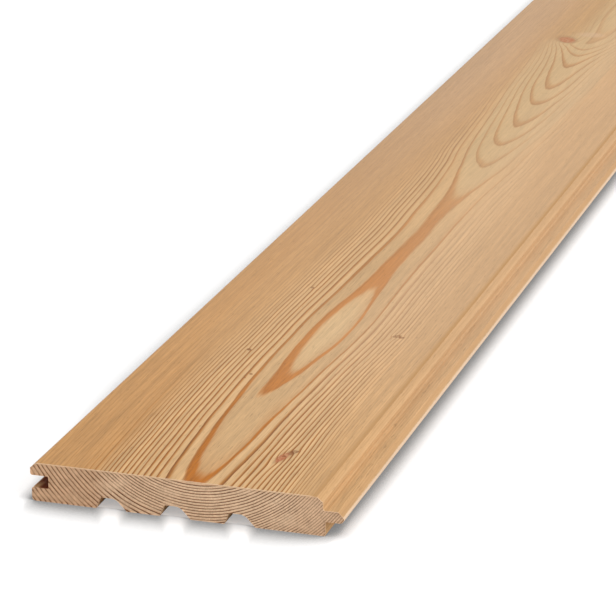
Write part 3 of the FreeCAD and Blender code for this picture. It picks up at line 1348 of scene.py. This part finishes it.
@dataclass
class Board:
    """The board itself: one milled length of softwood, with sawn ends.

    END_CUTS are distances from each end, and EVEN_CUTS places from the middle, at which the long
    faces are divided across. WAVERS are the fineness and the depth of each layer of the wavering
    arris.
    The LONG and END numbers place the long faces and the ends on the map.

    Attributes:
        section: The section's sizes.
        arris: Mean width of the broken arris round the sawn ends.
        arris_step: Longest side of the outline at the ends, so that the arris can waver.
        rounding_steps: Sides of each rounding.
        sharp_from: Degrees between two faces from which the edge between them is sharp.
        node: The model's node that the mesh replaces.
        map_name: Name of its UV map.
    """

    END_CUTS = (2.5, 9.0, 30.0)
    EVEN_CUTS = range(-900, 901, 100)
    WAVERS_PER_METRE = 260.0
    WAVERS = ((1.0, 0.75), (3.1, 0.35))
    LEAST_ARRIS = 0.15
    LONG_LEFT, LONG_WIDE, LONG_LOW, LONG_HIGH = 0.002, 0.996, 0.005, 0.895
    END_LEFTS, END_WIDE, END_LOW, END_SCALE = (0.01, 0.51), 0.48, 0.92, 3.9

    section: MilledSection = field(default_factory=MilledSection)
    arris: float = 0.42
    arris_step: float = 1.5
    rounding_steps: int = 7
    sharp_from: float = 24.0
    node: str = "board"
    map_name: str = "OFBake"

    def build(self) -> bpy.types.Object:
        """Models the board.

        Returns:
            The object, at the origin, with its faces sorted by how they were worked.
        """
        bm = bmesh.new()
        self.extrude_section(bm)
        self.cut_stations(bm)
        self.refine_ends(bm)
        self.lay_out_map(bm)
        self.break_arrises(bm)
        self.sort_faces(bm)
        bmesh.ops.recalc_face_normals(bm, faces=bm.faces[:])
        mesh = bpy.data.meshes.new("planed_board")
        bm.to_mesh(mesh)
        bm.free()
        mesh.shade_smooth()
        mesh.set_sharp_from_angle(angle=math.radians(self.sharp_from))
        obj = bpy.data.objects.new("planed_board", mesh)
        bpy.context.scene.collection.objects.link(obj)
        weights = obj.modifiers.new("flat_faces", "WEIGHTED_NORMAL")
        weights.keep_sharp = True
        weights.weight = 100
        return obj

    @staticmethod
    def foot(vert: bmesh.types.BMVert) -> tuple[float, float]:
        """Where a vertex lies in the section, rounded so that it can be looked up."""
        return round(vert.co.x, 6), round(vert.co.z, 6)

    def point(self, corner: Corner, along: float) -> Vector:
        """Where a corner of the section lies in the board's frame, in metres."""
        across = corner.across - self.section.width / 2
        return Vector((across, along, corner.up)) * MM

    def extrude_section(self, bm: bmesh.types.BMesh) -> None:
        """Draws the section with sharp corners, pulls it to length and eases its long edges.

        Args:
            bm: The board's mesh.
        """
        corners = self.section.corners()
        half = self.section.length / 2
        ring = [bm.verts.new(self.point(corner, -half)) for corner in corners]
        face = bm.faces.new(ring)
        pulled = bmesh.ops.extrude_face_region(bm, geom=[face], use_keep_orig=True)
        far = [item for item in pulled["geom"] if isinstance(item, bmesh.types.BMVert)]
        bmesh.ops.translate(bm, verts=far, vec=(0.0, self.section.length * MM, 0.0))
        count = len(corners)
        groups: dict[tuple[float, int], list[bmesh.types.BMEdge]] = {}
        for index, (corner, vert) in enumerate(zip(corners, ring)):
            reach = corner.reach(corners[index - 1], corners[(index + 1) % count])
            if reach == 0:
                continue
            edge = next(e for e in vert.link_edges if e.calc_length() > half * MM)
            steps = 1 if corner.chamfer else self.rounding_steps
            groups.setdefault((round(reach, 4), steps), []).append(edge)
        for (reach, steps), edges in groups.items():
            bmesh.ops.bevel(
                bm, geom=edges, offset=reach * MM, offset_type="OFFSET", segments=steps,
                profile=0.5, affect="EDGES", material=-1, clamp_overlap=False,
            )

    def cut_stations(self, bm: bmesh.types.BMesh) -> None:
        """Cuts the long faces across near the ends and at even steps between.

        Args:
            bm: The board's mesh.
        """
        half = self.section.length / 2
        near = [-half + step for step in self.END_CUTS]
        far = [half - step for step in self.END_CUTS]
        for along in (*near, *far, *self.EVEN_CUTS):
            bmesh.ops.bisect_plane(
                bm, geom=bm.verts[:] + bm.edges[:] + bm.faces[:],
                plane_co=(0.0, along * MM, 0.0), plane_no=(0.0, 1.0, 0.0),
            )

    def end_faces(self, bm: bmesh.types.BMesh) -> list[bmesh.types.BMFace]:
        """Finds the sawn faces at both ends.

        Args:
            bm: The board's mesh.

        Returns:
            The faces.
        """
        half = self.section.length / 2 * MM
        return [f for f in bm.faces if all(abs(abs(v.co.y) - half) < 1e-6 for v in f.verts)]

    def refine_ends(self, bm: bmesh.types.BMesh) -> None:
        """Divides the outline of both ends, so that their arrises can waver.

        Args:
            bm: The board's mesh.
        """
        for face in self.end_faces(bm):
            for edge in list(face.edges):
                cuts = int(edge.calc_length() / (self.arris_step * MM))
                if cuts:
                    bmesh.ops.subdivide_edges(bm, edges=[edge], cuts=cuts)

    def lay_out_map(self, bm: bmesh.types.BMesh) -> None:
        """Lays the surface out flat: the long faces unrolled side by side, the ends above them.

        Args:
            bm: The board's mesh.
        """
        outline = next(f for f in self.end_faces(bm) if f.calc_center_median().y < 0)
        run, places = 0.0, {}
        for loop in outline.loops:
            places[self.foot(loop.vert)] = run
            run += loop.edge.calc_length()
        layer = bm.loops.layers.uv.new(self.map_name)
        ends = set(self.end_faces(bm))
        length, width = self.section.length * MM, self.section.width * MM
        for face in bm.faces:
            if face in ends:
                left = self.END_LEFTS[face.calc_center_median().y > 0]
                for loop in face.loops:
                    share = loop.vert.co.x / width + 0.5
                    up = self.END_LOW + self.END_SCALE * loop.vert.co.z
                    loop[layer].uv = (left + self.END_WIDE * share, up)
                continue
            known = [places[self.foot(loop.vert)] for loop in face.loops]
            wraps = max(known) > 0.75 * run
            for loop, place in zip(face.loops, known):
                place = run if wraps and place < 0.25 * run else place
                up = self.LONG_LOW + self.LONG_HIGH * (loop.vert.co.y / length + 0.5)
                loop[layer].uv = (self.LONG_LEFT + self.LONG_WIDE * place / run, up)

    def break_arrises(self, bm: bmesh.types.BMesh) -> None:
        """Breaks the sharp arris round both ends a little, wider here and narrower there.

        Args:
            bm: The board's mesh.
        """
        for face in self.end_faces(bm):
            outward = -1.0 if face.calc_center_median().y < 0 else 1.0
            outline = list(face.verts)
            bmesh.ops.inset_region(
                bm, faces=[face], thickness=self.arris * MM, depth=0.0, use_even_offset=True,
                use_boundary=True,
            )
            for vert in outline:
                seed = Vector((vert.co.x, outward, vert.co.z)) * self.WAVERS_PER_METRE
                waver = 1.0 + sum(depth * noise.noise(seed * finer) for finer, depth in self.WAVERS)
                vert.co.y -= outward * self.arris * MM * max(waver, self.LEAST_ARRIS)

    def sort_faces(self, bm: bmesh.types.BMesh) -> None:
        """Gives each face the material slot of the way it was worked.

        Args:
            bm: The board's mesh.
        """
        top = self.section.thickness * MM
        for face in bm.faces:
            centre, normal = face.calc_center_median(), face.normal
            if abs(normal.y) > 0.3:
                face.material_index = Surface.SAWN.value
            elif abs(normal.z) > 0.99 and (centre.z > top - 1e-5 or centre.z < 1e-5):
                face.material_index = Surface.PLANED.value
            else:
                face.material_index = Surface.MILLED.value

    def dress(self, obj: bpy.types.Object, timber: Timber) -> None:
        """Gives the board its materials.

        Args:
            obj: The board's object.
            timber: The shared node groups.
        """
        finishes = [
            WoodFinish("planed_softwood", Surface.PLANED),
            WoodFinish(
                "milled_softwood", Surface.MILLED,
                spring=paint(208, 171, 124), old=paint(190, 147, 103), core=paint(205, 171, 125),
                dull=0.66, sleek=0.54, ripple=0.002, pitch=2.3,
            ),
            WoodFinish(
                "sawn_end_grain", Surface.SAWN,
                spring=paint(229, 195, 161), autumn=paint(176, 129, 95), amber=paint(176, 129, 95),
                line=paint(72, 40, 22), old=paint(212, 173, 138), core=paint(229, 195, 161),
                pale=paint(216, 181, 148), knot=paint(132, 84, 60), bark=paint(96, 62, 46),
                wear_and_highlight=paint(250, 211, 168), smear=0.6, dull=0.9, sleek=0.8, fade=0.1, relief=0.03,
                wear_and_highlight_band=1.1,
            ),
        ]
        for finish in sorted(finishes, key=lambda item: item.surface.value):
            obj.data.materials.append(finish.make(timber))


@dataclass
class Studio:
    """The pale floor, the soft lights and the camera.

    Attributes:
        eye: Where the camera stands, in millimetres in the board's frame.
        sight: The point that the middle of the picture shows.
        focal_pixels: Focal length in pixels of the picture.
        picture: Side of the square picture in pixels.
        floor_size: Side of the floor in metres.
        paleness: How much of its light the floor throws back onto the board.
        whiteness: How much of the light on it the floor shows in the picture.
        lift: How much paler than that it looks, also in the shadow.
        least_lift: Share of that where the shadow is deepest.
        shade_range: How open the floor is where its painted shade is deepest and where it ends.
        lift_range: The same for the lift.
        shadow_reach: How far from the board its painted shade reaches, in millimetres.
        corner_reach: How far it reaches beside the corners of the near end.
        corner_width: Distance from the foot over which it falls to that.
        corner_length: Distance from the near end over which it grows again.
        opening_slant: How far the painted light before the relief grooves leans across, for each
            step.
        light_from: Where most of the light on the floor comes from.
        foot_middle: Where the middle of the board's foot lies across, in millimetres.
        foot_half: Half the width of that foot.
        section: The section's sizes.
    """

    eye: tuple[float, float, float] = (417.4, -2145.9, 514.3)
    sight: tuple[float, float, float] = (-18.8, -760.2, 18.0)
    focal_pixels: float = 3000.0
    picture: int = 616
    floor_size: float = 60.0
    paleness: float = 0.8
    whiteness: float = 0.8
    lift: float = 0.36
    least_lift: float = 0.55
    shade_range: tuple[float, float] = (0.45, 0.94)
    lift_range: tuple[float, float] = (0.3, 0.8)
    shadow_reach: float = 30.0
    corner_reach: float = 9.0
    corner_width: float = 8.0
    corner_length: float = 170.0
    opening_slant: float = 0.31
    light_from: tuple[float, float, float] = (0.42, 0.2, 0.88)
    foot_middle: float = -3.0
    foot_half: float = 66.0
    section: MilledSection = field(default_factory=MilledSection)

    def lay_floor(self) -> bpy.types.Object:
        """Lays a floor that is white in the picture and keeps the board's shadow, deepened by
        painted shade that follows how open the floor is.

        Returns:
            The floor.
        """
        bm = bmesh.new()
        bmesh.ops.create_grid(bm, x_segments=1, y_segments=1, size=self.floor_size / 2)
        mesh = bpy.data.meshes.new("floor")
        bm.to_mesh(mesh)
        bm.free()
        floor = bpy.data.objects.new("floor", mesh)
        bpy.context.scene.collection.objects.link(floor)
        desk = MaterialDesk("white_floor")
        seen = self.seen_directly(desk)
        occlusion = desk.add("ShaderNodeAmbientOcclusion", samples=8)
        desk.fill(occlusion, Distance=self.find_reach(desk), Normal=desk.join(*self.light_from))
        openness = occlusion.outputs["AO"]
        # Painted light: under the board and before the relief grooves' openings the painted shade
        # is lifted again.
        beneath = desk.larger(self.find_beneath(desk), self.find_openings(desk))
        shade = desk.remap(openness, *self.shade_range, 0.0, self.whiteness, smooth=False)
        shade = desk.larger(shade, desk.times(beneath, self.whiteness))
        level = desk.plus(desk.times(seen, desk.minus(shade, self.paleness)), self.paleness)
        glow = desk.remap(openness, *self.lift_range, self.least_lift * self.lift, self.lift)
        glow = desk.larger(glow, desk.times(beneath, self.lift))
        matt = desk.fill(desk.add("ShaderNodeBsdfDiffuse"), Color=desk.join(level, level, level))
        lift = desk.fill(desk.add("ShaderNodeEmission"), Strength=desk.times(seen, glow))
        both = desk.add("ShaderNodeAddShader")
        desk.feed(both.inputs[0], matt.outputs[0])
        desk.feed(both.inputs[1], lift.outputs[0])
        mesh.materials.append(desk.finish(both.outputs[0]))
        return floor

    def find_beneath(self, desk: MaterialDesk) -> Socket:
        """Where the floor lies under the board, between its outer foot lines.

        Args:
            desk: The floor's nodes.

        Returns:
            A mask that sets in over a few millimetres.
        """
        middle = desk.off(desk.across, self.foot_middle)
        aside = desk.remap(middle, self.foot_half - 4.0, self.foot_half, 1.0, 0.0)
        inwards = desk.minus(self.section.length / 2, desk.off(desk.along))
        return desk.times(aside, desk.remap(inwards, -1.0, 3.0))

    def find_reach(self, desk: MaterialDesk) -> Socket:
        """How far from the board its painted shade reaches: less beside the corners of its near
        end.

        Args:
            desk: The floor's nodes.

        Returns:
            The reach in metres.
        """
        middle = desk.off(desk.across, self.foot_middle)
        beside = desk.remap(middle, self.foot_half, self.foot_half + self.corner_width)
        near, shorter = -self.section.length / 2, self.shadow_reach - self.corner_reach
        at_end = desk.remap(desk.along, near, near + self.corner_length, shorter, 0.0)
        return desk.scaled(desk.times(beside, at_end), -MM, self.shadow_reach * MM)

    def find_openings(self, desk: MaterialDesk) -> Socket:
        """Where painted light lies on the floor before the near end, in front of the relief
        grooves.

        Args:
            desk: The floor's nodes.

        Returns:
            A mask of soft stripes.
        """
        section = self.section
        before = desk.minus(-section.length / 2, desk.along)
        slant = desk.scaled(before, -self.opening_slant, desk.across)
        openings: Value = 0.0
        for step in range(section.relief_count):
            start = section.relief_start + step * section.relief_pitch
            off = desk.off(slant, start + (section.relief_width - section.width) / 2)
            stripe = desk.remap(off, 1.5, section.relief_width * 0.7, 1.0, 0.0)
            openings = desk.larger(stripe, openings)
        outside = desk.times(
            desk.remap(before, -5.0, -1.0), desk.remap(before, -4.0, 12.0, 0.8, 1.0)
        )
        return desk.times(openings, outside)

    def seen_directly(self, desk: NodeDesk) -> Socket:
        """Finds out whether the camera sees a place itself, in a mirror or through glass.

        Args:
            desk: The nodes of the floor or the sky.

        Returns:
            One where it does, and nought elsewhere.
        """
        rays = desk.add("ShaderNodeLightPath").outputs
        seen = desk.larger(rays["Is Camera Ray"], rays["Is Glossy Ray"])
        return desk.larger(seen, rays["Is Transmission Ray"])

    def hang_lights(self) -> None:
        """Sets an even sky and two large soft lamps."""
        world = bpy.data.worlds.new("studio")
        world.use_nodes = True
        world.node_tree.nodes.clear()
        desk = NodeDesk(world.node_tree)
        strength = desk.remap(self.seen_directly(desk), 0.0, 1.0, 0.75, 1.0, smooth=False)
        sky = desk.add("ShaderNodeBackground")
        desk.fill(sky, Color=(1.0, 1.0, 1.0, 1.0), Strength=strength)
        desk.feed(desk.add("ShaderNodeOutputWorld").inputs["Surface"], sky.outputs[0])
        bpy.context.scene.world = world
        self.hang_lamp("key", (3.0, -1.6, 1.9), 1.6, 52.0)
        self.hang_lamp("fill", (-0.2, 0.6, 3.6), 2.0, 28.0)

    def hang_lamp(
        self, name: str, place: tuple[float, float, float], size: float, power: float
    ) -> None:
        """Hangs one square lamp that faces the middle of the board.

        Args:
            name: The lamp's name.
            place: Where it hangs, in metres.
            size: Its side in metres.
            power: Its power in watts.
        """
        lamp = bpy.data.lights.new(name, "AREA")
        lamp.shape, lamp.size, lamp.energy = "SQUARE", size, power
        obj = bpy.data.objects.new(name, lamp)
        bpy.context.scene.collection.objects.link(obj)
        obj.location = place
        aim = Vector((0.0, -0.5, 0.0)) - Vector(place)
        obj.rotation_euler = aim.to_track_quat("-Z", "Y").to_euler()

    def place_camera(self) -> None:
        """Stands the camera where the picture was taken from."""
        data = bpy.data.cameras.new("camera")
        data.sensor_width = 36.0
        data.lens = self.focal_pixels / self.picture * data.sensor_width
        data.clip_start, data.clip_end = 0.01, 200.0
        camera = bpy.data.objects.new("camera", data)
        bpy.context.scene.collection.objects.link(camera)
        eye, sight = Vector(self.eye) * MM, Vector(self.sight) * MM
        camera.location = eye
        camera.rotation_euler = (sight - eye).to_track_quat("-Z", "Y").to_euler()
        bpy.context.scene.camera = camera


def main() -> None:
    """Builds the board and its studio."""
    logging.basicConfig(level=logging.INFO, format="%(message)s")
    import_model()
    board = Board()
    timber = Timber(Tree(), board.section)
    obj = board.build()
    board.dress(obj, timber)
    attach(obj, "root")
    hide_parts(board.node)
    log.info("%s: %d faces", obj.name, len(obj.data.polygons))
    studio = Studio()
    studio.lay_floor()
    studio.hang_lights()
    studio.place_camera()
    bpy.context.scene.view_settings.view_transform = "Standard"


if __name__ == "__main__":
    main()
